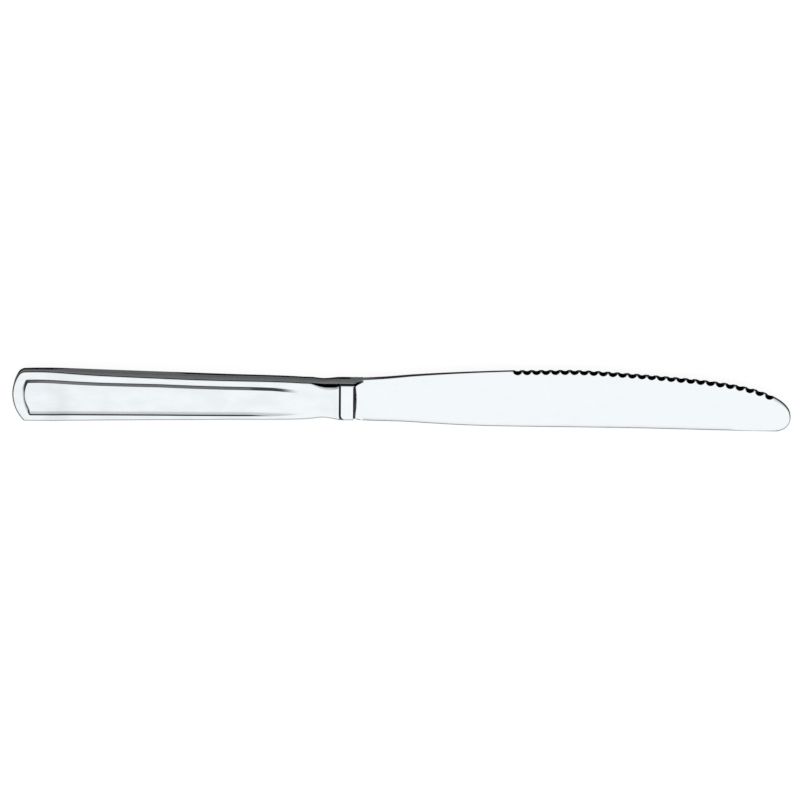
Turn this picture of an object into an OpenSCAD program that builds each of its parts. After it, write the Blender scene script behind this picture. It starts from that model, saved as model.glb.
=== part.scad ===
// Table knife with a hollow handle, lying flat on its back.
// X runs along the knife towards the tip, Y towards the cutting edge, Z up out of the handle's face.
// The origin is under the middle of the knife's box, on the surface that it lies on.

/* [Knife] */
// Length from butt to tip
overall_l = 234; // [200:1:260]
// Length of the handle from butt to bolster
handle_l = 98.4; // [85:0.1:112]
// Length of the bolster's flat face along the knife
bolster_l = 4.3; // [3:0.1:6]
// Width of the bolster and of the handle's mouth
bolster_w = 12.2; // [10:0.1:13]
// Thickness of the bolster and of the handle's mouth
bolster_t = 5.4; // [5.1:0.1:7]

/* [Handle outline] */
// Greatest width, near the butt
butt_w = 16.5; // [14:0.1:19]
// Width at the end of the long taper
waist_w = 13; // [12:0.1:14]
// Least width, just behind the mouth
neck_w = 11; // [9.6:0.1:11.6]
// Radius of the rounded butt end
butt_r = 13; // [11:0.1:20]
// Radius of the corners between the butt end and the long sides
butt_corner_r = 1.5; // [0.8:0.1:2.5]

/* [Handle thickness] */
// Thickness at the butt
butt_t = 2.9; // [2.6:0.1:4]
// Greatest thickness of the grip
grip_t = 5; // [4.4:0.1:5.8]
// Thickness at the neck
neck_t = 4.6; // [4.2:0.1:5.2]
// Thickness of the sheet that the shells are pressed from
sheet_t = 0.6; // [0.4:0.05:0.8]

/* [Panel] */
// Width of the raised border round the panel
border_w = 2; // [1.2:0.1:3]
// Depth of the pressed-in panel below the border
panel_d = 0.4; // [0.2:0.05:0.45]
// Distance from the butt to the panel's end wall
panel_end = 4; // [3:0.1:8]
// Length over which the panel's floor rises to nothing towards the neck
panel_fade_l = 17; // [8:0.5:30]
// Distance from the mouth to where the panel has faded out
panel_clear_l = 10; // [7:0.5:20]

/* [Blade] */
// Reach of the cutting edge from the knife's axis, at its crown
edge_reach = 10.5; // [9:0.1:12]
// Drop of the spine from the axis, near the tip
spine_drop = 8.6; // [7.5:0.1:10]
// Radius of the rounded corner between tip and spine
tip_r = 4.3; // [3:0.1:6]
// Distance of the edge's crown from the tip
crown_l = 67; // [55:1:80]
// Thickness of the spine at the heel
spine_t = 1.9; // [1.5:0.1:2.4]
// Thickness along the cutting edge
edge_t = 0.9; // [0.7:0.1:1.3]
// Thickness of the spine at the tip
tip_t = 1.2; // [0.9:0.1:1.6]
// Length from the heel over which the cutting edge is ground down to its full thinness
grind_l = 45; // [10:1:60]
// Length over which the bolster's front falls away to the blade in a hollow curve
foot_l = 2.7; // [1.5:0.1:4]

/* [Serration] */
// Number of scallops ground into the front face
scallop_count = 27; // [1:1:30]
// Distance from one scallop to the next along the knife
scallop_pitch = 2.93; // [2.6:0.01:3]
// Radius of the wheel that grinds each scallop
scallop_r = 1.35; // [1.15:0.05:1.4]
// Height of a scallop on the front face, from the edge
scallop_h = 1.15; // [0.8:0.05:1.5]
// Depth by which a scallop notches the edge's back line
scallop_notch = 0.4; // [0.1:0.05:0.5]
// Distance from the tip to the middle of the last scallop
scallop_tip_gap = 6.6; // [6:0.1:12]

/* [Inside] */
// Length of the tang behind the bolster
tang_l = 60; // [30:1:70]
// Width of the tang where it leaves the blade
tang_w = 6.4; // [5:0.1:7]
// Width of the tang at its end
tang_end_w = 3.6; // [3:0.1:5]
// Thickness of the tang
tang_t = 1.4; // [1.2:0.1:1.6]
// Length of the bolster's spigot inside the handle's mouth
spigot_l = 3; // [2:0.1:4]
// Length of cement past the end of the tang
cement_past_l = 8; // [2:0.5:14]
// Width of the bead along the seam of the shells
seam_bead_w = 0.8; // [0.5:0.05:1]
// Thickness of the bead along the seam of the shells
seam_bead_t = 0.7; // [0.4:0.05:0.9]
// Size of the bead round the tang
tang_bead = 0.7; // [0.4:0.05:0.8]
// Clearance between pieces that fit into each other
fit_gap = 0.04; // [0.02:0.01:0.06]

/* [Hidden] */
overrun = 1;
// Steps along the handle and along the blade's outline
handle_steps = 40;
blade_steps = 56;
tip_steps = 10;
foot_steps = 14;
end_steps = 12;
corner_steps = 5;
// Places along the knife's axis
butt_x = -overall_l / 2;
tip_x = overall_l / 2;
mouth_x = butt_x + handle_l;
heel_x = mouth_x + bolster_l;
blade_l = tip_x - heel_x;
crown_x = tip_x - crown_l;
tip_y = tip_r - spine_drop;
tang_end_x = mouth_x - tang_l;
spigot_x = mouth_x - spigot_l;
// Distance of the knife's axis from the middle of its box
axis_y = (spine_drop - edge_reach) / 2;
axis_z = bolster_t / 2;

// Outline of the handle: place along the handle, then width as a share between two named widths
taper_shares = [[0.115, 1], [0.2, 0.81], [0.27, 0.65], [0.45, 0.36], [0.635, 0.12], [0.8, 0]];
shoulder_shares = [[0.872, 0.78], [0.91, 0.48]];
corner_width_share = 0.985;
neck_share = 0.95;
handle_widths = concat(
    [[0, butt_w * corner_width_share]],
    [for (s = taper_shares) [s[0], waist_w + (butt_w - waist_w) * s[1]]],
    [for (s = shoulder_shares) [s[0], neck_w + (waist_w - neck_w) * s[1]]],
    [[neck_share, neck_w], [1, bolster_w]]
);

// Side view of the handle: place along the handle, then thickness as a share between two named ones
swell_shares = [[0, 0], [0.09, 0.07], [0.13, 0.22], [0.18, 0.46], [0.27, 0.75], [0.45, 0.93], [0.56, 1]];
fall_shares = [[0.8, 0], [0.91, 0], [0.96, 0.15], [1, 1]];
handle_heights = concat(
    [for (s = swell_shares) [s[0], butt_t + (grip_t - butt_t) * s[1]]],
    [for (s = fall_shares) [s[0], neck_t + (bolster_t - neck_t) * s[1]]]
);

// Cutting edge from heel to crown, and spine from heel to tip, as shares of the blade's own sizes
edge_rise_shares = [[0, 0.04], [0.008, 0.13], [0.025, 0.165], [0.07, 0.172], [0.146, 0.258], [0.285, 0.477],
    [0.498, 0.718], [0.75, 0.916], [1, 1]];
spine_shares = [[0, 0.05], [0.005, 0.18], [0.018, 0.255], [0.04, 0.31], [0.11, 0.365], [0.175, 0.535],
    [0.25, 0.72], [0.345, 0.816], [0.66, 0.827], [0.86, 0.946], [1, 1]];
// Powers of the curve from the crown to the tip
tip_curve_out_share = 1.9;
tip_curve_down_share = 2.5;
// Powers of the hollow curves at the bolster's foot, seen from the side and from above, and how far
// its thin end stands over the blade
foot_curve_share = 5;
foot_spread_share = 2;
foot_lip = 0.1;

// Value at x of the smooth curve through a list of stations, each a place and a value
function slope(p, i) =
    let (a = max(i - 1, 0), b = min(i + 1, len(p) - 1))
    (p[b][1] - p[a][1]) / (p[b][0] - p[a][0]);
function span(p, x, i = 0) = i >= len(p) - 2 || x < p[i + 1][0] ? i : span(p, x, i + 1);
function along(p, x) =
    let (
        i = span(p, x),
        w = p[i + 1][0] - p[i][0],
        t = min(max((x - p[i][0]) / w, 0), 1),
        t2 = t * t,
        t3 = t2 * t
    )
    p[i][1] * (2 * t3 - 3 * t2 + 1) + slope(p, i) * w * (t3 - 2 * t2 + t)
        + p[i + 1][1] * (3 * t2 - 2 * t3) + slope(p, i + 1) * w * (t3 - t2);

function handle_half_w(x) = along(handle_widths, (x - butt_x) / handle_l) / 2;
function handle_half_t(x) = along(handle_heights, (x - butt_x) / handle_l) / 2;
function edge_y(x) =
    x < crown_x
        ? bolster_w / 2 + (edge_reach - bolster_w / 2)
            * along(edge_rise_shares, (x - heel_x) / (crown_x - heel_x))
        : tip_y + (edge_reach - tip_y)
            * pow(1 - pow(min((x - crown_x) / crown_l, 1), tip_curve_out_share), 1 / tip_curve_down_share);
function spine_y(x) =
    -bolster_w / 2 - (spine_drop - bolster_w / 2)
        * along(spine_shares, (x - heel_x) / (tip_x - tip_r - heel_x));

// Plane shape with a round left end at x, open to the right
module round_end(x, radius) {
    translate([x + radius, 0]) circle(r = radius, $fn = 180);
    translate([x + radius, -butt_w]) square([overall_l, 2 * butt_w]);
}

// Outline of the handle, drawn in by inset all round and carried past the mouth by past.
// The long sides run into the round butt end through a small rounded corner on each side.
module handle_outline(inset, past = 0) {
    end_r = butt_r - inset;
    corner_r = max(butt_corner_r - inset, butt_corner_r / corner_steps);
    corner_y = handle_half_w(butt_x + butt_corner_r) - inset - corner_r;
    corner_x = butt_x + butt_r - sqrt(pow(end_r - corner_r, 2) - pow(corner_y, 2));
    lean = atan2(corner_y, corner_x - butt_x - butt_r);
    side_l = mouth_x - corner_x;
    half = concat(
        [for (i = [end_steps : -1 : 1]) let (a = lean + (180 - lean) * i / end_steps)
            [butt_x + butt_r + end_r * cos(a), end_r * sin(a)]],
        [for (i = [corner_steps : -1 : 1]) let (a = 90 + (lean - 90) * i / corner_steps)
            [corner_x + corner_r * cos(a), corner_y + corner_r * sin(a)]],
        [for (i = [0 : handle_steps]) let (x = corner_x + side_l * i / handle_steps)
            [x, handle_half_w(max(x, butt_x + butt_corner_r)) - inset]],
        past > 0 ? [[mouth_x + past, handle_half_w(mouth_x) - inset]] : []
    );
    polygon(concat(half, [for (i = [len(half) - 1 : -1 : 1]) [half[i][0], -half[i][1]]]));
}

// Side view of the handle's front half, drawn in by inset from the face
module handle_side(inset, past = 0) {
    xs = [for (i = [0 : handle_steps]) butt_x + handle_l * i / handle_steps];
    top = concat(
        [for (x = xs) [x, handle_half_t(x) - inset]],
        past > 0 ? [[mouth_x + past, handle_half_t(mouth_x) - inset]] : []
    );
    polygon(concat([[butt_x, 0]], top, [[mouth_x + past, 0]]));
}

// Extrudes a side view, drawn along X and up Z, over a width centred on the axis
module across(width) {
    rotate([90, 0, 0]) translate([0, 0, -width / 2]) linear_extrude(width) children();
}

// The front half of the handle's block, drawn in by inset from its outline and its face
module handle_half(inset, past = 0) {
    intersection() {
        linear_extrude(bolster_t) handle_outline(inset, past);
        across(2 * butt_w) handle_side(inset, past);
    }
}

// Depth of the panel's floor below the face, which fades out towards the neck
function panel_depth(x) =
    panel_d * min(max((mouth_x - panel_clear_l - x) / panel_fade_l, 0), 1);

// The space in the panel, grown sideways and downwards by grow
module panel_space(grow) {
    fade_x = mouth_x - panel_clear_l;
    start_x = butt_x + panel_end - grow;
    xs = [for (i = [0 : handle_steps]) start_x + (fade_x - start_x) * i / handle_steps];
    floor_line = [for (x = xs) [x, handle_half_t(x) - panel_depth(x) - grow]];
    intersection() {
        linear_extrude(bolster_t) intersection() {
            handle_outline(border_w - grow);
            round_end(start_x, butt_r);
        }
        across(2 * butt_w) polygon(concat(floor_line, [[fade_x, bolster_t], [start_x, bolster_t]]));
    }
}

// The front half of the room inside the shells, drawn in by gap
module inner_half(gap, past = 0) {
    difference() {
        handle_half(sheet_t + gap, past);
        panel_space(sheet_t + gap);
    }
}

// A half and its mirror image in the plane of the seam
module both_halves() {
    children();
    mirror([0, 0, 1]) children();
}

module shell_half() {
    difference() {
        handle_half(0);
        panel_space(0);
        inner_half(0, overrun);
    }
}

// Lifts the knife from its axis onto the surface that it lies on
module laid_down() {
    translate([0, axis_y, axis_z]) children();
}

// Everything between two places along the knife
module stretch(from_x, to_x) {
    translate([from_x, -butt_w, -bolster_t]) cube([to_x - from_x, 2 * butt_w, 2 * bolster_t]);
}

// Outline of the blade in front of the bolster
module blade_outline() {
    edge = [for (i = [0 : blade_steps]) let (x = heel_x + blade_l * i / blade_steps) [x, edge_y(x)]];
    corner = [for (i = [1 : tip_steps]) let (a = -90 * i / tip_steps)
        [tip_x - tip_r + tip_r * cos(a), tip_y + tip_r * sin(a)]];
    spine_step = (blade_l - tip_r) / blade_steps;
    spine = [for (i = [blade_steps - 1 : -1 : 0]) let (x = heel_x + spine_step * i) [x, spine_y(x)]];
    polygon(concat(edge, corner, spine));
}

// The blade's two ground faces: a wedge from spine to edge that also thins towards the tip,
// left thicker at the heel, where the grind begins
module blade_slab(grow) {
    intersection() {
        union() {
            rotate([90, 0, 90]) translate([0, 0, heel_x]) linear_extrude(blade_l)
                polygon([
                    [-spine_drop, -spine_t / 2 - grow], [edge_reach, -edge_t / 2 - grow],
                    [edge_reach, edge_t / 2 + grow], [-spine_drop, spine_t / 2 + grow]
                ]);
            across(2 * butt_w)
                polygon([
                    [heel_x, -spine_t / 2 - grow], [heel_x + grind_l, -edge_t / 2 - grow],
                    [heel_x + grind_l, edge_t / 2 + grow], [heel_x, spine_t / 2 + grow]
                ]);
        }
        across(2 * butt_w)
            polygon([
                [heel_x, -spine_t / 2 - grow], [tip_x, -tip_t / 2 - grow],
                [tip_x, tip_t / 2 + grow], [heel_x, spine_t / 2 + grow]
            ]);
    }
}

// The wheel's path for one scallop: slanted, so that it bites deep in front and only nicks the back
module scallop(x) {
    tilt = atan((scallop_h - scallop_notch) / edge_t);
    lean = atan((edge_y(x + scallop_r) - edge_y(x - scallop_r)) / (2 * scallop_r));
    translate([x, edge_y(x), 0]) rotate([0, 0, lean])
        translate([0, scallop_r / cos(tilt) - (scallop_h + scallop_notch) / 2, 0])
            rotate([tilt, 0, 0]) cylinder(r = scallop_r, h = 4 * spine_t, center = true, $fn = 48);
}

// The tang's outline, drawn out by grow all round
module tang_outline(grow) {
    polygon([
        [heel_x + overrun, -tang_w / 2 - grow], [heel_x + overrun, tang_w / 2 + grow],
        [mouth_x, tang_w / 2 + grow], [tang_end_x - grow, tang_end_w / 2 + grow],
        [tang_end_x - grow, -tang_end_w / 2 - grow], [mouth_x, -tang_w / 2 - grow]
    ]);
}

module tang(grow = 0) {
    translate([0, 0, -tang_t / 2 - grow]) linear_extrude(tang_t + 2 * grow) tang_outline(grow);
}

// Ribbon along the inside of the seam, drawn out by grow all round
module seam_ribbon(grow = 0) {
    intersection() {
        translate([0, 0, -seam_bead_t / 2 - grow]) linear_extrude(seam_bead_t + 2 * grow) difference() {
            handle_outline(sheet_t + fit_gap - grow);
            handle_outline(sheet_t + fit_gap + seam_bead_w + grow);
        }
        stretch(butt_x, spigot_x - 2 * tang_bead + grow);
    }
}

// Bead round the tang, behind the spigot, drawn out by grow and carried past its front by past
module tang_ring(grow = 0, past = 0) {
    ring_w = tang_w + 2 * (tang_bead + grow);
    ring_t = tang_t + 2 * (tang_bead + grow);
    translate([spigot_x - tang_bead - grow, -ring_w / 2, -ring_t / 2])
        cube([tang_bead + grow - fit_gap + past, ring_w, ring_t]);
}

module blade() {
    color("lightsteelblue") laid_down() {
        difference() {
            intersection() {
                blade_slab(0);
                translate([0, 0, -bolster_t / 2]) linear_extrude(bolster_t) blade_outline();
            }
            for (i = [0 : scallop_count - 1]) scallop(tip_x - scallop_tip_gap - i * scallop_pitch);
        }
        tang();
    }
}

module bolster() {
    foot_half_t = spine_t / 2 + fit_gap + foot_lip;
    foot_end_x = heel_x + foot_l;
    foot_shares = [for (i = [0 : foot_steps]) i / foot_steps];
    foot_curve = [for (u = foot_shares)
        [heel_x + foot_l * u, foot_half_t + (bolster_t / 2 - foot_half_t) * pow(1 - u, foot_curve_share)]];
    edge_spread = edge_y(foot_end_x) - bolster_w / 2;
    spine_spread = -spine_y(foot_end_x) - bolster_w / 2;
    foot_edge = [for (u = foot_shares)
        [heel_x + foot_l * u, bolster_w / 2 + edge_spread * pow(u, foot_spread_share)]];
    foot_spine = [for (i = [foot_steps : -1 : 0]) let (u = foot_shares[i])
        [heel_x + foot_l * u, -bolster_w / 2 - spine_spread * pow(u, foot_spread_share)]];
    color("silver") laid_down() difference() {
        union() {
            both_halves() intersection() {
                across(2 * butt_w)
                    polygon(concat([[mouth_x, 0], [mouth_x, bolster_t / 2]], foot_curve, [[foot_end_x, 0]]));
                linear_extrude(bolster_t) polygon(concat(
                    [[mouth_x, -bolster_w / 2], [mouth_x, bolster_w / 2]], foot_edge, foot_spine));
            }
            both_halves() intersection() {
                handle_half(sheet_t + fit_gap, overrun);
                stretch(spigot_x, mouth_x + overrun);
            }
        }
        tang(fit_gap);
        blade_slab(fit_gap);
    }
}

module handle_shell_front() {
    color("gainsboro") laid_down() shell_half();
}

module handle_shell_back() {
    color("lightgray") laid_down() mirror([0, 0, 1]) shell_half();
}

module seam_braze() {
    color("darkkhaki") laid_down() seam_ribbon();
}

module tang_braze() {
    color("khaki") laid_down() difference() {
        tang_ring();
        tang(fit_gap);
    }
}

module handle_cement() {
    color("sienna") laid_down() difference() {
        intersection() {
            both_halves() inner_half(fit_gap);
            stretch(tang_end_x - cement_past_l, spigot_x - fit_gap);
        }
        seam_ribbon(fit_gap);
        tang_ring(fit_gap, overrun);
        tang(fit_gap);
    }
}

blade();
bolster();
handle_shell_front();
handle_shell_back();
seam_braze();
tang_braze();
handle_cement();
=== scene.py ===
import math

import bmesh
import bpy
from mathutils import Matrix, Vector


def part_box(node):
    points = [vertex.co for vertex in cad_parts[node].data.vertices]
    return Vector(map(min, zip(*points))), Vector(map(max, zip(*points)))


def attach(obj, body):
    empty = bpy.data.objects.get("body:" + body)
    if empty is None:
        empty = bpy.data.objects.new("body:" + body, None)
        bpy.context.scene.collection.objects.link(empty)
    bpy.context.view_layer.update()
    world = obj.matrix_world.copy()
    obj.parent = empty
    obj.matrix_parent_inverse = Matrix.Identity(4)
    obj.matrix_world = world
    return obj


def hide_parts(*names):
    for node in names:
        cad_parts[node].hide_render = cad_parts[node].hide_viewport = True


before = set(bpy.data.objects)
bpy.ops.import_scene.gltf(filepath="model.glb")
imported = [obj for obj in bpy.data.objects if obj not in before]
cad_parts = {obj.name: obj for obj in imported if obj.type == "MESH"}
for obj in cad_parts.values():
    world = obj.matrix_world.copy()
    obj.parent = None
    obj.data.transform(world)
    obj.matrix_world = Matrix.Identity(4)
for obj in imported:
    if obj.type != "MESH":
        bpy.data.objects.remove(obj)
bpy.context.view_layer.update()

# Blade. One strip of stainless steel, forged with its tang, ground to a wedge and polished bright.
# The tang runs back through the bolster into the handle; the scallops are ground last, by a thin
# wheel that leans over the front face, so each bites deep in front and only nicks the back.
mm = 0.001
blade_low, blade_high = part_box("blade")
shell_low, shell_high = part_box("handle_shell_front")
bolster_low, bolster_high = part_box("bolster")
axis_y = (shell_low.y + shell_high.y) / 2
seam_z = shell_low.z
mouth_x = shell_high.x
foot_l = 2.7 * mm
heel_x = bolster_high.x - foot_l
tip_x = blade_high.x
bolster_half_w = 6.1 * mm
edge_reach = blade_high.y - axis_y
spine_drop = axis_y - blade_low.y
tip_r = 4.3 * mm
crown_l, crown_power, tip_power = 67 * mm, 1.9, 2.4
crown_x = tip_x - crown_l
belly_d, belly_turns = 16 * mm, 0.62
tip_y = tip_r - spine_drop
heel_half_t = 0.95 * mm
edge_half_t = 0.45 * mm
grind_l, grind_power = 45 * mm, 1.5
tip_half_t = 0.6 * mm
edge_rise = [(0, 0), (0.021, 0.05), (0.042, 0.14), (0.07, 0.172), (0.146, 0.258), (0.285, 0.477),
             (0.498, 0.718), (0.75, 0.916), (1, 1)]
spine_fall = [(0, 0.05), (0.005, 0.18), (0.018, 0.255), (0.04, 0.31), (0.11, 0.365), (0.175, 0.535),
              (0.25, 0.72), (0.345, 0.816), (0.66, 0.827), (0.86, 0.946), (1, 1)]


def through(stations, x):
    """Height at x of the smooth curve through the stations."""
    i = max(j for j in range(len(stations) - 1) if j == 0 or x >= stations[j][0])

    def slope(j):
        (ax, ay), (bx, by) = stations[max(j - 1, 0)], stations[min(j + 1, len(stations) - 1)]
        return (by - ay) / (bx - ax)

    (ax, ay), (bx, by) = stations[i], stations[i + 1]
    w = bx - ax
    t = min(max((x - ax) / w, 0), 1)
    rise = ay * (2 * t**3 - 3 * t**2 + 1) + by * (3 * t**2 - 2 * t**3)
    return rise + w * (slope(i) * (t**3 - 2 * t**2 + t) + slope(i + 1) * (t**3 - t**2))


def edge_y(x):
    """Distance of the cutting edge from the middle line, with the crown's slight belly."""
    if x < crown_x:
        rise = through(edge_rise, (x - heel_x) / (crown_x - heel_x))
        return bolster_half_w + (edge_reach - bolster_half_w) * rise
    u = min((x - crown_x) / crown_l, 1)
    belly = belly_d * u**2 * (1 - u) * (u - belly_turns)
    return tip_y + (edge_reach - tip_y) * (1 - u**crown_power) ** (1 / tip_power) + belly


def spine_y(x):
    """Where the back is: it drops just in front of the bolster, and again towards the middle."""
    fall = through(spine_fall, (x - heel_x) / (tip_x - tip_r - heel_x))
    return -bolster_half_w - (spine_drop - bolster_half_w) * fall


def blade_half_t(x, y):
    """Half the thickness, which the grind takes down towards the edge and towards the tip."""
    run = (x - heel_x) / (tip_x - heel_x)
    back = heel_half_t + (tip_half_t - heel_half_t) * run
    grind = max(1 - (x - heel_x) / grind_l, 0) ** grind_power
    front = edge_half_t + (heel_half_t - edge_half_t) * grind
    return back + (front - back) * (y + spine_drop) / (edge_reach + spine_drop)


sharp_turn = math.radians(35)


def new_piece(name, bm):
    """The mesh becomes a shown object of that name, smooth but for its sharp corners."""
    mesh = bpy.data.meshes.new(name)
    bm.to_mesh(mesh)
    bm.free()
    if mesh.has_custom_normals:
        mesh.attributes.remove(mesh.attributes["custom_normal"])
    mesh.shade_smooth()
    mesh.set_sharp_from_angle(angle=sharp_turn)
    piece = bpy.data.objects.new(name, mesh)
    bpy.context.scene.collection.objects.link(piece)
    return piece


def cut_away(piece, cutter):
    """Takes the cutter's shape out of the piece for good, and removes the cutter."""
    cut = piece.modifiers.new("cut", "BOOLEAN")
    cut.operation = "DIFFERENCE"
    cut.solver = "EXACT"
    cut.use_self = True
    cut.object = cutter
    graph = bpy.context.evaluated_depsgraph_get()
    mesh = bpy.data.meshes.new_from_object(piece.evaluated_get(graph))
    piece.modifiers.clear()
    piece.data = mesh
    bpy.data.objects.remove(cutter)


class Value:
    """A number that changes over the surface: arithmetic on it adds Math nodes."""

    def __init__(self, finish, socket):
        self.finish, self.socket = finish, socket

    def math(self, operation, first, second=0.0):
        return self.finish.node("Math", {"operation": operation}, {0: first, 1: second})

    def __add__(self, other):
        return self.math("ADD", self, other)

    def __sub__(self, other):
        return self.math("SUBTRACT", self, other)

    def __rsub__(self, other):
        return self.math("SUBTRACT", other, self)

    def __mul__(self, other):
        return self.math("MULTIPLY", self, other)


class Finish:
    """A material with one main shader, whose plain settings are given when it is made."""

    def __init__(self, name, plain={}):
        self.material = bpy.data.materials.new(name)
        self.material.use_nodes = True
        self.tree = self.material.node_tree
        self.shader = self.tree.nodes["Principled BSDF"]
        self.drive(plain)

    def node(self, kind, settings={}, sockets={}, output=0):
        """Adds a node: its settings first, then the values or links of its sockets."""
        node = self.tree.nodes.new("ShaderNode" + kind)
        for setting, value in settings.items():
            setattr(node, setting, value)
        for socket, value in sockets.items():
            self.join(value, node.inputs[socket])
        return Value(self, node.outputs[output])

    def join(self, value, socket):
        if isinstance(value, Value):
            self.tree.links.new(value.socket, socket)
        else:
            socket.default_value = value

    def drive(self, looks):
        """Sets the main shader's sockets, or joins what changes over the surface to them."""
        for socket, value in looks.items():
            self.join(value, self.shader.inputs[socket])

    def spot(self):
        """Where a point is on the piece, as its distances along x, y and z."""
        split = self.node("SeparateXYZ", sockets={0: self.node("TexCoord", output="Object")})
        return [Value(self, distance) for distance in split.socket.node.outputs]

    def noise(self, stretch, scale, detail, roughness):
        """Clouds or, where one direction is stretched, the streaks of a polishing wheel."""
        spot = self.node("TexCoord", output="Object")
        spot = self.node("Mapping", sockets={"Vector": spot, "Scale": stretch})
        sockets = {"Vector": spot, "Scale": scale, "Detail": detail, "Roughness": roughness}
        return self.node("TexNoise", sockets=sockets)

    def between(self, value, low, high):
        """The value's own run from low to high becomes a run from 0 to 1, and stops there."""
        return self.node("MapRange", sockets={"Value": value, "From Min": low, "From Max": high})

    def blend(self, share, first, second):
        """A colour between two others."""
        sockets = {0: share, 6: first, 7: second}
        return self.node("Mix", {"data_type": "RGBA"}, sockets, output=2)

    def relief(self, height, depth, strength=1.0):
        """Fine relief of that depth in metres, as a bump."""
        sockets = {"Height": height, "Distance": depth, "Strength": strength}
        return self.node("Bump", sockets=sockets)

    def cover(self, piece):
        piece.data.materials.clear()
        piece.data.materials.append(self.material)


def polished_steel(name, bright, dull, roughness, streaks, blotches, joint_x=1.0):
    """Stainless steel from the polishing wheel: fine streaks along the knife, faint clouds
    where the wheel pressed less, and a few hair scratches from use. A near-black line is painted
    into the colour along the joint at joint_x; it turns forward at the spine's side, but not beside
    the cutting edge. Without a joint_x the line is a metre away from the knife, so there is none."""
    steel = Finish(name, {"Metallic": 1.0})
    streak = steel.noise((40, 1, 1), 9000, 3.0, 0.6)
    cloud = steel.noise((0.5, 1, 1), 260, 2.0, 0.5)
    hair = steel.noise((0.04, 1, 0.3), 5200, 2.0, 0.55)
    hairline = steel.between(hair, 0.66, 0.74)
    tone = steel.between(cloud, 0.35, 0.65) * blotches + hairline * 0.35
    # A near-black line is painted into the colour along the joint at joint_x. It hooks forward at
    # the spine's side and stops short of the cutting edge's side.
    dark_line_half_w, dark_line_core, dark_line_thins, dark_line_ends = 0.38 * mm, 0.24 * mm, 5 * mm, 5.6 * mm
    joint_turns, joint_turn = -4.4 * mm, 1.2 * mm
    along, beside = steel.spot()[:2]
    beside = beside - axis_y
    turning = steel.between(beside, joint_turns, -bolster_half_w)
    away = along - joint_x - turning * turning * joint_turn
    away = steel.node("Math", {"operation": "ABSOLUTE"}, {0: away})
    dark_line = steel.between(away, dark_line_half_w, dark_line_core)
    dark_line = dark_line * steel.between(beside, dark_line_ends, dark_line_thins)
    clean = steel.blend(tone, (*bright, 1), (*dull, 1))
    steel.drive({
        "Base Color": steel.blend(dark_line, clean, (0.03, 0.03, 0.034, 1)),
        "Roughness": streak * streaks + cloud * 0.04 + hairline * 0.12 + dark_line * 0.4 + roughness,
        "Normal": steel.relief(streak + hairline * -0.6, 0.000002, 0.5),
    })
    return steel


long_steps, cap_steps, across_steps = 160, 24, 10
cap_x = tip_x - tip_r
rim_in, rim_ease = 0.3 * mm, 0.1 * mm
tip_drop_z, tip_drop_l, tip_drop_rise = 0.13 * mm, 12 * mm, 1.6
spine_drop_z, spine_fade, spine_fade_at, spine_fade_l = 0.05 * mm, 0.9, 11 * mm, 7 * mm
nudge = 0.01 * mm
bm = bmesh.new()
bmesh.ops.create_grid(bm, x_segments=long_steps + cap_steps, y_segments=across_steps, size=0.5)
for v in bm.verts:
    step = round((v.co.x + 0.5) * (long_steps + cap_steps))
    rung = round((v.co.y + 0.5) * across_steps)
    if step <= long_steps:
        x = heel_x + (cap_x - heel_x) * step / long_steps
        low, low_out = Vector((x, spine_y(x))), Vector((0, -1))
    else:
        turn = math.pi / 2 * (step - long_steps) / cap_steps
        low_out = Vector((math.sin(turn), -math.cos(turn)))
        x = cap_x + tip_r * low_out.x
        low = Vector((x, tip_y + tip_r * low_out.y))
    high = Vector((x, edge_y(x)))
    fall = edge_y(x - nudge) - edge_y(x)
    high_out = Vector((fall, nudge)).normalized() if step < long_steps + cap_steps else low_out
    border = min(rim_in, (high.y - low.y) / across_steps) if step <= long_steps else rim_in
    if rung in (0, across_steps):
        spot = high if rung else low
    else:
        inner_low, inner_high = low - low_out * border, high - high_out * border
        inner_high.y = max(inner_high.y, inner_low.y)
        spot = inner_low + (inner_high - inner_low) * (rung - 1) / (across_steps - 2)
    height = blade_half_t(spot.x, spot.y)
    if rung == across_steps:
        height -= tip_drop_z * min(max((x - tip_x) / tip_drop_l + 1, 0) * tip_drop_rise, 1)
    elif rung == 0:
        fading = max(0, 1 - ((x - tip_x + spine_fade_at) / spine_fade_l) ** 2)
        height -= spine_drop_z * (1 - fading * spine_fade)
    v.co = spot.x, axis_y + spot.y, seam_z + height
bmesh.ops.remove_doubles(bm, verts=bm.verts, dist=1e-6)
front = bmesh.ops.extrude_face_region(bm, geom=bm.faces[:])
for v in front["geom"]:
    if isinstance(v, bmesh.types.BMVert):
        v.co.z = 2 * seam_z - v.co.z
bmesh.ops.recalc_face_normals(bm, faces=bm.faces)
corner_turn = math.radians(60)
rim = [e for e in bm.edges if e.calc_face_angle(0) > corner_turn
       and e.verts[0].co.x + e.verts[1].co.x > 2 * heel_x + 1e-5]
bmesh.ops.bevel(bm, geom=rim, offset=rim_ease, segments=3, profile=0.5, affect="EDGES",
                material=-1)

# The tang is drawn out from the heel's end face, first stepped in, then tapered
tang_l, tang_w, tang_end_w, tang_t = 60 * mm, 6.4 * mm, 3.6 * mm, 1.4 * mm
heel_faces = [f for f in bm.faces if all(abs(v.co.x - heel_x) < 1e-6 for v in f.verts)]
end_face = bmesh.ops.dissolve_faces(bm, faces=heel_faces)["region"][0]
for x, width in ((heel_x, tang_w), (mouth_x, tang_w), (mouth_x - tang_l, tang_end_w)):
    drawn = bmesh.ops.extrude_face_region(bm, geom=[end_face])["geom"]
    bmesh.ops.delete(bm, geom=[end_face], context="FACES_ONLY")
    end_face = next(g for g in drawn if isinstance(g, bmesh.types.BMFace))
    low, high = min(v.co.y for v in end_face.verts), max(v.co.y for v in end_face.verts)
    for v in end_face.verts:
        y = axis_y + width * ((v.co.y - low) / (high - low) - 0.5)
        v.co = x, y, seam_z + math.copysign(tang_t / 2, v.co.z - seam_z)
blade = new_piece("blade_polished", bm)

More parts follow.
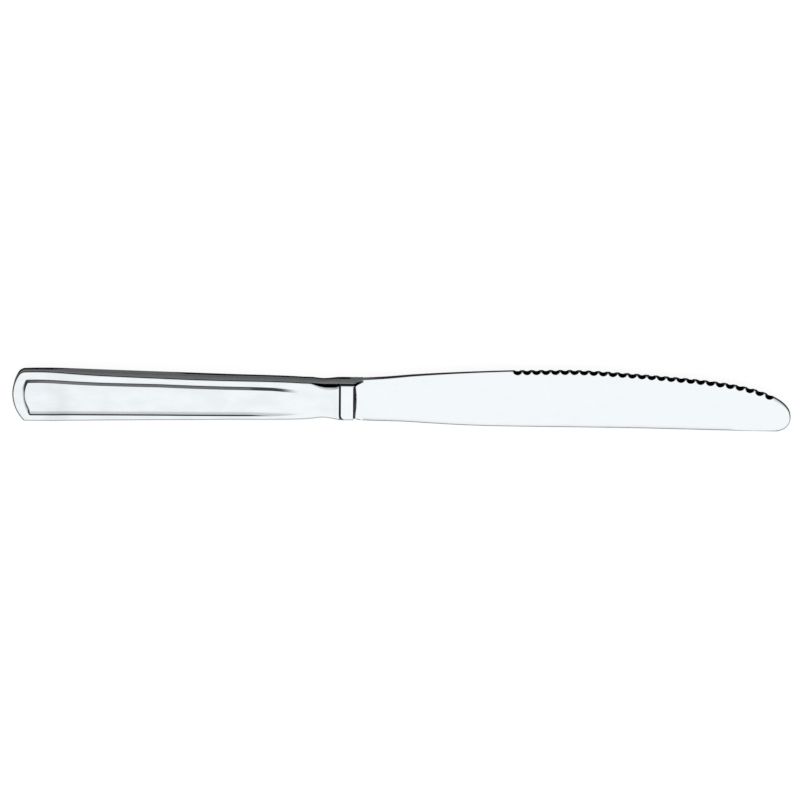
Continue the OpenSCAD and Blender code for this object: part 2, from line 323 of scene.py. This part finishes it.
# The wheel leaves one scallop every few millimetres, from the tip back
scallop_count, scallop_tip_gap = 27, 6.7 * mm
scallop_pitch, pitch_loss = 3.02 * mm, 0.004 * mm
scallop_r, scallop_h, scallop_notch, scallop_widens = 1.35 * mm, 1.3 * mm, 0.4 * mm, 1.2
wheel_l = 8 * mm
wheel_tilt = math.atan((scallop_h - scallop_notch) / (2 * edge_half_t))
wheel_out = scallop_r / math.cos(wheel_tilt) - (scallop_h + scallop_notch) / 2
bm = bmesh.new()
for i in range(scallop_count):
    x = tip_x - scallop_tip_gap - i * (scallop_pitch - i * pitch_loss)
    lean = math.atan((edge_y(x + scallop_r) - edge_y(x - scallop_r)) / (2 * scallop_r))
    turn = (Matrix.Translation((x, axis_y + edge_y(x), seam_z)) @ Matrix.Rotation(lean, 4, "Z")
            @ Matrix.Translation((0, wheel_out, 0)) @ Matrix.Rotation(wheel_tilt, 4, "X")
            @ Matrix.Diagonal((scallop_widens, 1, 1, 1)))
    bmesh.ops.create_cone(bm, cap_ends=True, segments=44, radius1=scallop_r, radius2=scallop_r,
                          depth=wheel_l, matrix=turn)
cut_away(blade, new_piece("scallop_wheel", bm))
blade.data.set_sharp_from_angle(angle=sharp_turn)
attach(blade, "root")
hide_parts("blade")
blade_steel = polished_steel("blade_steel", (0.905, 0.945, 0.97), (0.86, 0.9, 0.93),
                             0.05, 0.05, 0.2)
blade_steel.cover(blade)

# Bolster. A small block of the same steel, machined with a slot for the blade and a spigot that
# plugs the handle's mouth. Its foot runs out over the blade in a hollow curve and its edges are
# eased, most on the cutting edge's side of the front. It is polished with the handle.
bm = bmesh.new()
bm.from_mesh(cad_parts["bolster"].data)
bmesh.ops.remove_doubles(bm, verts=bm.verts, dist=1e-6)
bmesh.ops.dissolve_limit(bm, angle_limit=math.radians(0.5), verts=bm.verts, edges=bm.edges)
block_half_t = (bolster_high.z - bolster_low.z) / 2
foot_half_t, foot_least_t = heel_half_t + 0.14 * mm, heel_half_t + 0.05 * mm
foot_x = heel_x - 0.35 * mm
foot_hollow, corner_hollow = 7, 8
edge_ease, spine_ease, ease_loss, foot_ease = 1.1 * mm, 0.45 * mm, 0.6, 0.4
joint_ease, joint_corner = 0.35 * mm, 0.8 * mm
ridge_w, front_sweep, back_sweep = 0.25 * mm, 1.4, 1.5


def eased_block(x, y, face):
    """Half the thickness of the finished bolster over a place on its front (1) or back (-1). The
    foot is hollow, and fills the corner beside the cutting edge with a narrow ridge, which sinks
    sooner on the front."""
    run = min(max((x - foot_x) / (bolster_high.x - foot_x), 0), 1)
    side = edge_y(x) if y > 0 else -spine_y(x)
    side = max(side, bolster_half_w) if x > heel_x else bolster_half_w
    ease = (edge_ease if y > 0 and face > 0 else spine_ease) * (1 - ease_loss * run)
    height = (1 - run) ** (foot_hollow + corner_hollow * (y / bolster_half_w) ** 2)
    if y > 0:
        across = min(max((y - side + ease) / ridge_w + 1, 0), 1)
        ridge = (1 - run**front_sweep) ** front_sweep if face > 0 else 1 - run**back_sweep
        height += (ridge - height) * across**2 * (3 - 2 * across)
    into_side = min(max(abs(y) - side + ease, 0), ease)
    into_joint = min(max(mouth_x + joint_ease - x, 0), joint_ease)
    fade = max(min(height * 2, 1), 0 if y > 0 else foot_ease)
    lower = (ease - math.sqrt(max(ease**2 - into_side**2, 0))) * fade
    half_t = foot_half_t + (block_half_t - foot_half_t) * height - lower
    return max(half_t, foot_least_t) - joint_ease + math.sqrt(joint_ease**2 - into_joint**2)


# Cuts across and along give the eased edges, the ridge and the hollow foot their points
ease_steps = 8
block_cut, ridge_cut, ridge_low, ridge_high = 1.2 * mm, 0.09 * mm, 4.7 * mm, 5.4 * mm
edge_cut, spine_cut = 0.1 * mm, 0.06 * mm
for i in range(ease_steps):
    eased = 1 - math.sin(math.pi / 2 * i / ease_steps)
    cuts = [
        (Vector((1, 0, 0)), mouth_x + joint_ease * eased),
        (Vector((1, 0, 0)), mouth_x + joint_corner * eased),
        (Vector((0, 1, 0)), axis_y + bolster_half_w - edge_ease * eased),
        (Vector((0, 1, 0)), axis_y - bolster_half_w + spine_ease * eased),
        (Vector((0, 1, 0)), axis_y + bolster_half_w + edge_cut * i),
        (Vector((0, 1, 0)), axis_y + ridge_low + ridge_cut * i),
        (Vector((0, 1, 0)), axis_y + ridge_high + ridge_cut * i),
        (Vector((0, 1, 0)), axis_y + block_cut * (i - ease_steps / 2)),
        (Vector((0, 1, 0)), axis_y - bolster_half_w - spine_cut * i),
        (Vector((1, 0, 0)), foot_x + (bolster_high.x - foot_x) * (i / ease_steps) ** 1.5),
    ]
    for normal, place in cuts:
        everything = bm.verts[:] + bm.edges[:] + bm.faces[:]
        bmesh.ops.bisect_plane(bm, geom=everything, dist=1e-7, plane_co=normal * place,
                               plane_no=normal)
foot_side = edge_y(bolster_high.x) - bolster_half_w
for v in bm.verts:
    x, y, z = v.co.x, v.co.y - axis_y, v.co.z - seam_z
    if x < mouth_x - 1e-6:
        continue
    if abs(z) > foot_half_t - nudge:
        tall = eased_block(x, y, math.copysign(1, z))
        v.co.z = seam_z + math.copysign(min(abs(z), tall) if x < heel_x else tall, z)
    if y > bolster_half_w + 1e-6 and x > heel_x + 1e-6:
        share = (y - bolster_half_w) / (foot_side * ((x - heel_x) / foot_l) ** 2)
        v.co.y = axis_y + bolster_half_w + (edge_y(x) - bolster_half_w) * min(share, 1)
    if y < 1e-6 - bolster_half_w and x < mouth_x + joint_corner:
        into_corner = mouth_x + joint_corner - x
        v.co.y += joint_corner - math.sqrt(joint_corner**2 - into_corner**2)
bmesh.ops.remove_doubles(bm, verts=bm.verts, dist=1e-6)
bmesh.ops.dissolve_degenerate(bm, dist=1e-6, edges=bm.edges)
bolster = new_piece("bolster_polished", bm)
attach(bolster, "root")
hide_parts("bolster")
bolster_steel = polished_steel("bolster_steel", (0.915, 0.95, 0.972), (0.88, 0.915, 0.94),
                               0.05, 0.05, 0.4, mouth_x)
bolster_steel.cover(bolster)

# Handle shells. Two stampings of thin stainless sheet, each with a sunk panel on its face that
# runs out towards the neck. They meet at mid thickness and are brazed edge to edge, then polished.
handle_l = 98.4 * mm
butt_x = shell_low.x
butt_w, waist_w, neck_w = 16.5 * mm, 13 * mm, 11 * mm
butt_t, grip_t, neck_t = 2.9 * mm, 5 * mm, 4.6 * mm
butt_r, butt_corners, least_corner = 13 * mm, {1: 2.6 * mm, -1: 0.9 * mm}, 0.3 * mm
neck_full, neck_full_l = 0.3 * mm, 5.5 * mm
butt_square, butt_square_l, butt_blend_l = 0.35 * mm, 16 * mm, 3 * mm
plain_round, round_back = 0.45 * mm, 2.4 * mm
round_l = {1: 6.4 * mm, -1: 3.4 * mm}
sheet_t, panel_d = 0.6 * mm, 0.4 * mm
border_w, wall_w = {1: 2.6 * mm, -1: 2 * mm}, {1: 1.4 * mm, -1: 2 * mm}
border_thins, thins_from, thins_l = 0.65 * mm, 14 * mm, {1: 30 * mm, -1: 52 * mm}
thin_back, thin_back_l = 8 * mm, 12 * mm
panel_start, end_wall_w, floor_start = 2.2 * mm, 1.6 * mm, 2.5 * mm
panel_corner = 0.2 * mm
end_lag, lag_half_w, lag_steps = 0.7 * mm, butt_w / 2 - 2 * mm, 8
panel_clear_l, panel_fade_l = 10 * mm, 17 * mm
taper = [(0.115, 1), (0.2, 0.81), (0.27, 0.65), (0.45, 0.36), (0.635, 0.12), (0.8, 0)]
shoulder = [(0.872, 0.78), (0.91, 0.48)]
fall = [(0.8, 0), (0.91, 0), (0.96, 0.15), (1, 1)]
swell = [(0, 0), (0.09, 0.07), (0.13, 0.22), (0.18, 0.46), (0.27, 0.75), (0.45, 0.93), (0.56, 1)]
handle_widths = ([(0, butt_w * 0.985)]
                 + [(s, waist_w + (butt_w - waist_w) * w) for s, w in taper]
                 + [(s, neck_w + (waist_w - neck_w) * w) for s, w in shoulder]
                 + [(0.95, neck_w), (1, 2 * bolster_half_w)])
handle_heights = ([(s, butt_t + (grip_t - butt_t) * w) for s, w in swell]
                  + [(s, neck_t + (2 * block_half_t - neck_t) * w) for s, w in fall])


def handle_half_w(x, side):
    """Half the width at x. On the cutting edge's side (1) the neck is a little fuller, and on the
    spine's side (-1) the butt is squarer."""
    if side > 0:
        extra = neck_full * max(0, 1 - ((x - mouth_x + neck_full_l) / neck_full_l) ** 2)
    else:
        extra = butt_square * max(0, 1 - (x - butt_x) / butt_square_l)
    return through(handle_widths, (x - butt_x) / handle_l) / 2 + extra


def handle_half_t(x):
    return through(handle_heights, (x - butt_x) / handle_l) / 2


side_steps, corner_steps, end_steps = 120, 6, 24
half_steps = side_steps + corner_steps + end_steps // 2


def outline(step, inset, start, corner_r):
    """A point of the handle's outline drawn in by inset, whose round end stands at start from
    the butt and whose corners are smaller by corner_r. Steps run from the mouth along the
    cutting edge's side, round the butt, and back along the spine's."""
    side = 1 if step <= half_steps else -1
    i = min(step, 2 * half_steps - step)
    end_r = butt_r - inset
    corner_r = max(butt_corners[side] - corner_r, least_corner)
    centre_x = butt_x + start + end_r
    corner_y = handle_half_w(butt_x, side) - inset - corner_r
    corner_x = centre_x - math.sqrt((end_r - corner_r) ** 2 - corner_y**2)
    lean = math.atan2(corner_y, corner_x - centre_x)
    if i <= side_steps:
        x = mouth_x + (corner_x - mouth_x) * i / side_steps
        excess = handle_half_w(corner_x, side) - handle_half_w(butt_x, side)
        excess *= max(0, 1 - (x - corner_x) / butt_blend_l)
        y = handle_half_w(x, side) - inset - excess
    elif i <= side_steps + corner_steps:
        turn = math.pi / 2 + (lean - math.pi / 2) * (i - side_steps) / corner_steps
        x, y = corner_x + corner_r * math.cos(turn), corner_y + corner_r * math.sin(turn)
    else:
        turn = lean + (math.pi - lean) * (i - side_steps - corner_steps) / (end_steps // 2)
        x, y = centre_x + end_r * math.cos(turn), end_r * math.sin(turn)
    return x, side * y


def edge_round(x, y):
    """Radius of the corner between face and side. It grows by neck_round at the neck, on the
    cutting edge's side."""
    away = mouth_x - round_back - x
    share = max(0, 1 - (away / round_l[1 if away > 0 else -1]) ** 2)
    return plain_round + (neck_round * share if y > 0 else 0)


def panel_edge(step, share):
    """A point of the panel's wall, from its outline (0) to its foot (1). The end wall is narrower
    at the corners. The border beside the panel thins towards the neck, and is whole again there."""
    side = 1 if step <= half_steps else -1
    inset, start = border_w[side] + wall_w[side] * share, panel_start + end_wall_w * share
    x, y = outline(step, inset, start, inset - panel_corner)
    past_side = min(step, 2 * half_steps - step) - side_steps
    near_end = min(max(past_side / lag_steps + 1, 0), 1)
    thinner = border_thins * min(max((x - butt_x - thins_from) / thins_l[side], 0), 1)
    thinner *= min(max((mouth_x - thin_back - x) / thin_back_l, 0), 1)
    lag = near_end * end_lag * (1 - share) * (y / lag_half_w) ** 2
    return x + lag, y + side * thinner


def panel_depth(x):
    return panel_d * min(max((mouth_x - panel_clear_l - x) / panel_fade_l, 0), 1)


def wall_drop(share, side, at_end):
    """How far down the panel's wall has come, as a share of its depth, across the wall. On the
    cutting edge's side it is straight under an eased edge, on the spine's side it runs out in a
    cove, and at the butt it breaks off gently."""
    if side > 0:
        slack = wall_ease / 2
        eased = share < wall_ease
        drop = share**2 / (2 * wall_ease * (1 - slack)) if eased else (share - slack) / (1 - slack)
    else:
        drop = 1 - (1 - share) ** 3
    return drop + (share**2 - drop) * at_end


wall_ease = 0.3
wall_shares = [0, 0.02, 0.05, 0.1, 0.15, 0.2, 0.27, 0.35, 0.44, 0.54, 0.65, 0.76, 0.87, 0.96, 1]
border_shares = [0, 0.12, 0.4, 0.75, 0.94, 1]
floor_shares = [0, 0.02, 0.25, 0.5, 0.75, 1]
seam_rows, round_rows = 4, 6
face_rows, wall_rows = len(border_shares) - 1, len(wall_shares) - 1
floor_rows = len(floor_shares) - 1
row_count = seam_rows + round_rows + face_rows + wall_rows + floor_rows
seam_ease = 0.06 * mm


def shell_point(step, row, inward):
    """A point of a shell's skin from the seam (row 0) over its edge, border and panel wall to the
    middle line of its panel, on the outside or inward by the thickness of the sheet."""
    x, y = outline(step, 0, 0, 0)
    corner = edge_round(x, y)
    inner_corner = max(corner - inward, 0)
    past_side = min(step, 2 * half_steps - step) - side_steps
    at_end = min(max(past_side / (corner_steps + 3), 0), 1)
    if row <= seam_rows:
        top = handle_half_t(x) - corner
        inset = inward + (seam_ease if row == 0 and inward == 0 else 0)
        height = [0, seam_ease, 0.3 * top, 0.7 * top, top][row]
        x, y = outline(step, inset, inset, inset)
    elif row <= seam_rows + round_rows:
        turn = math.pi / 2 * (row - seam_rows) / round_rows
        inset = inward + inner_corner * (1 - math.cos(turn))
        x, y = outline(step, inset, inset, inset)
        height = handle_half_t(x) - inward - inner_corner * (1 - math.sin(turn))
    elif row <= seam_rows + round_rows + face_rows:
        share = border_shares[row - seam_rows - round_rows]
        inset = inward + inner_corner
        x, y = outline(step, inset, inset, inset)
        px, py = panel_edge(step, 0)
        x, y = x + (px - x) * share, y + (py - y) * share
        height = handle_half_t(x) - inward
    elif row <= row_count - floor_rows:
        share = wall_shares[row - seam_rows - round_rows - face_rows]
        x, y = panel_edge(step, share)
        height = handle_half_t(x) - panel_depth(x) * wall_drop(share, y, at_end) - inward
    else:
        share = floor_shares[row - row_count + floor_rows]
        x, y = panel_edge(step, 1)
        middle_x = (x + panel_edge(2 * half_steps - step, 1)[0]) / 2
        middle_x = max(middle_x, butt_x + panel_start + end_wall_w + floor_start)
        x, y = x + (middle_x - x) * share, y * (1 - share)
        height = handle_half_t(x) - panel_depth(x) - inward
    return x, axis_y + y, seam_z + height


def on_mouth_rim(edge):
    """Whether an edge is the outer rim of the handle's mouth, short of the cutting edge's side."""
    if any(abs(v.co.x - mouth_x) > 1e-6 or v.co.y > axis_y + rim_end for v in edge.verts):
        return False
    if any(v.co.z < seam_z + 1e-6 for v in edge.verts):
        return False
    for face in edge.link_faces:
        away = face.calc_center_median() - Vector((0, axis_y, seam_z))
        if abs(face.normal.x) < 0.5 and face.normal.yz.dot(away.yz) > 0:
            return True
    return False


rim_end, mouth_ease = 5.8 * mm, 0.4 * mm
handle_steel = polished_steel("handle_steel", (0.9, 0.94, 0.965), (0.82, 0.86, 0.89),
                              0.06, 0.06, 0.7, mouth_x)
for side, neck_round in (("front", 1.6 * mm), ("back", 0)):
    bm = bmesh.new()
    bmesh.ops.create_grid(bm, x_segments=2 * half_steps, y_segments=row_count, size=0.5)
    steps, rows = bm.verts.layers.int.new("step"), bm.verts.layers.int.new("row")
    for v in bm.verts:
        v[steps] = round((v.co.x + 0.5) * 2 * half_steps)
        v[rows] = round((v.co.y + 0.5) * row_count)
        v.co = shell_point(v[steps], v[rows], 0)
    bmesh.ops.remove_doubles(bm, verts=bm.verts, dist=1e-6)
    inside = bmesh.ops.extrude_face_region(bm, geom=bm.faces[:])["geom"]
    for v in inside:
        if isinstance(v, bmesh.types.BMVert):
            v.co = shell_point(v[steps], v[rows], sheet_t)
    bmesh.ops.remove_doubles(bm, verts=bm.verts, dist=1e-6)
    bmesh.ops.recalc_face_normals(bm, faces=bm.faces)
    mouth_rim = [e for e in bm.edges if on_mouth_rim(e)]
    bmesh.ops.bevel(bm, geom=mouth_rim, offset=mouth_ease, segments=5, profile=0.5, affect="EDGES",
                    material=-1)
    if side == "back":
        flip = Matrix.Translation((0, 0, -seam_z))
        bmesh.ops.scale(bm, vec=(1, 1, -1), space=flip, verts=bm.verts)
        bmesh.ops.reverse_faces(bm, faces=bm.faces)
    shell = new_piece("handle_" + side + "_polished", bm)
    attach(shell, "root")
    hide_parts("handle_shell_" + side)
    handle_steel.cover(shell)

# Braze. Brass filler run in with a torch: a ribbon along the inside of the seam that joins the
# two shells, and a bead round the tang that seals it to the bolster. Left rough, nobody sees it.
braze = Finish("braze", {"Metallic": 1.0})
ripple = braze.noise((1, 1, 1), 1400, 4.0, 0.6)
flux = braze.between(braze.noise((1, 1, 1), 420, 3.0, 0.6), 0.5, 0.62)
braze.drive({
    "Base Color": braze.blend(flux, (0.72, 0.5, 0.2, 1), (0.3, 0.2, 0.1, 1)),
    "Roughness": ripple * 0.3 + flux * 0.25 + 0.25,
    "Normal": braze.relief(ripple, 0.00006),
})
for name in ("seam_braze", "tang_braze"):
    braze.cover(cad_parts[name])

# Cement. The handle is filled with a hard resin cement that sets round the tang and holds the
# blade in, sandy brown and full of fine pores.
cement = Finish("cement")
grain = cement.noise((1, 1, 1), 2600, 4.0, 0.65)
pore = cement.between(cement.noise((1, 1, 1), 1100, 1.0, 0.4), 0.66, 0.72)
cement.drive({
    "Base Color": cement.blend(cement.between(grain, 0.3, 0.7), (0.3, 0.2, 0.12, 1),
                               (0.46, 0.34, 0.22, 1)),
    "Roughness": grain * 0.2 + 0.7,
    "Normal": cement.relief(grain - pore, 0.00008),
})
cement.cover(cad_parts["handle_cement"])

# Studio. A white floor under even white light. The steel sees a white card overhead, black cards
# beyond the cutting edge and at both ends, a narrow one on the spine's side, and below itself a
# grey mat with a painted contact shadow, a black strip round the handle.
scene = bpy.context.scene
scene.view_settings.view_transform = "Standard"
world = bpy.data.worlds.new("white_room")
world.use_nodes = True
world.node_tree.nodes["Background"].inputs["Color"].default_value = (1, 1, 1, 1)
scene.world = world


def stage_piece(name, bm, finish):
    piece = new_piece(name, bm)
    finish.cover(piece)
    return piece


def seen_in_steel_only(piece):
    piece.visible_camera = piece.visible_diffuse = piece.visible_shadow = False
    piece.visible_transmission = piece.visible_volume_scatter = False


matte = {"Roughness": 1.0, "Specular IOR Level": 0.0}
floor_z, mat_z, shadow_z = -0.1 * mm, -0.05 * mm, -0.04 * mm
mat_y, mat_turns, mat_dark = 0.95, -14 * mm, -6 * mm
white_floor = Finish("white_floor", {"Base Color": (0.95, 0.95, 0.95, 1), **matte})
shine = white_floor.node("Emission", sockets={"Color": (1, 1, 1, 1), "Strength": 1.05})
path = white_floor.node("LightPath").socket.node
camera_ray, glossy_ray, clear_ray = (
    Value(white_floor, path.outputs["Is " + kind + " Ray"])
    for kind in ("Camera", "Glossy", "Transmission"))
lit = Value(white_floor, white_floor.shader.outputs[0])
seen = (camera_ray + glossy_ray + clear_ray) * 0.85
shown = white_floor.node("MixShader", sockets={0: seen, 1: lit, 2: shine})
white_floor.join(shown, white_floor.tree.nodes["Material Output"].inputs["Surface"])
bm = bmesh.new()
bmesh.ops.create_grid(bm, x_segments=1, y_segments=1, size=3,
                      matrix=Matrix.Translation((0, 0, floor_z)))
stage_piece("floor", bm, white_floor)

grey_mat = Finish("grey_mat", matte)
tone = grey_mat.between(grey_mat.spot()[0], mat_turns, mat_dark)
grey_mat.drive({"Base Color": grey_mat.blend(tone, (0.2, 0.2, 0.2, 1), (0.03, 0.03, 0.03, 1))})
bm = bmesh.new()
place = Matrix.Translation((0, mat_y, mat_z)) @ Matrix.Diagonal((2, 1, 1, 1))
bmesh.ops.create_grid(bm, x_segments=1, y_segments=1, size=1, matrix=place)
seen_in_steel_only(stage_piece("mat_in_steel", bm, grey_mat))

# A black strip just over the floor, round the handle's outline and beside the bolster, seen only in
# the steel: a painted contact shadow in its reflections.
painted_contact_shadow = Finish("painted_contact_shadow", {"Base Color": (0.01, 0.01, 0.01, 1), **matte})
shadow_reach, neck_reach, butt_reach = 0.25 * mm, 0.6 * mm, 1.1 * mm
bolster_reach, bolster_shadow_l = 0.6 * mm, 1.2 * mm
neck_shadow_x, neck_shadow_l, butt_shadow_x, butt_shadow_l = -70 * mm, 5 * mm, -95 * mm, 11 * mm
bm = bmesh.new()
for side in (-1, 1):
    for x in (heel_x - side * bolster_shadow_l, heel_x + side * bolster_shadow_l):
        bm.verts.new((x, axis_y + side * (bolster_half_w + bolster_reach), shadow_z))
for step in range(2 * half_steps + 1):
    x, y = outline(step, 0, 0, 0)
    at_neck = min(max((x - neck_shadow_x) / neck_shadow_l, 0), 1)
    at_butt = min(max((butt_shadow_x - x) / butt_shadow_l, 0), 1)
    beyond = -shadow_reach - neck_reach * at_neck - butt_reach * at_butt
    x, y = outline(step, beyond, beyond, beyond)
    bm.verts.new((x, axis_y + y, shadow_z))
bm.faces.new(bm.verts)
seen_in_steel_only(stage_piece("contact_shadow_in_steel", bm, painted_contact_shadow))

cards = Finish("cards", {"Base Color": (0, 0, 0, 1), "Emission Strength": 1.0, **matte})
tent_r = 3.0
card_x, card_y, card_z = cards.spot()
turned = cards.node("Math", {"operation": "ARCTAN2"}, {0: card_y, 1: card_z}) * (180 / math.pi)
outward = card_x * (1 / tent_r)
edge_card = cards.between(turned, -20, -8) * 0.35 + cards.between(turned, 10, 22) * 0.65
spine_card = cards.between(turned, -32, -42) * cards.between(turned, -72, -62)
end_card = cards.between(outward, 0.32, 0.62) + cards.between(outward, -0.2, -0.62)
light = (1 - edge_card) * (1 - spine_card * 0.95) * (1 - end_card)
cards.drive({"Emission Color": cards.node("CombineColor", sockets={0: light, 1: light, 2: light})})
bm = bmesh.new()
bmesh.ops.create_uvsphere(bm, u_segments=64, v_segments=32, radius=tent_r)
bmesh.ops.reverse_faces(bm, faces=bm.faces)
seen_in_steel_only(stage_piece("cards_in_steel", bm, cards))

# Camera. Over the cutting edge's side, tilted, a long lens a metre away.
tilt, roll = math.radians(26), 0.01498
toward = Vector((0, math.sin(tilt), math.cos(tilt)))
rise = Vector((0, math.cos(tilt), -math.sin(tilt)))
right = Vector((math.cos(roll), 0, 0)) + rise * math.sin(roll)
up = rise * math.cos(roll) - Vector((math.sin(roll), 0, 0))
pixel, picture_w = 0.3005 * mm, 800
off_right, off_up = 1.95 * pixel, 0.6 * pixel
middle = Vector((0, axis_y, seam_z)) - right * off_right - up * off_up
lens = bpy.data.cameras.new("camera")
lens.lens, lens.sensor_width = 150, 36
lens.clip_start, lens.clip_end = 0.05, 20
distance = picture_w * pixel * lens.lens / lens.sensor_width
camera = bpy.data.objects.new("camera", lens)
turn = Matrix((right, up, toward)).transposed()
camera.matrix_world = Matrix.Translation(middle + toward * distance) @ turn.to_4x4()
scene.collection.objects.link(camera)
scene.camera = camera
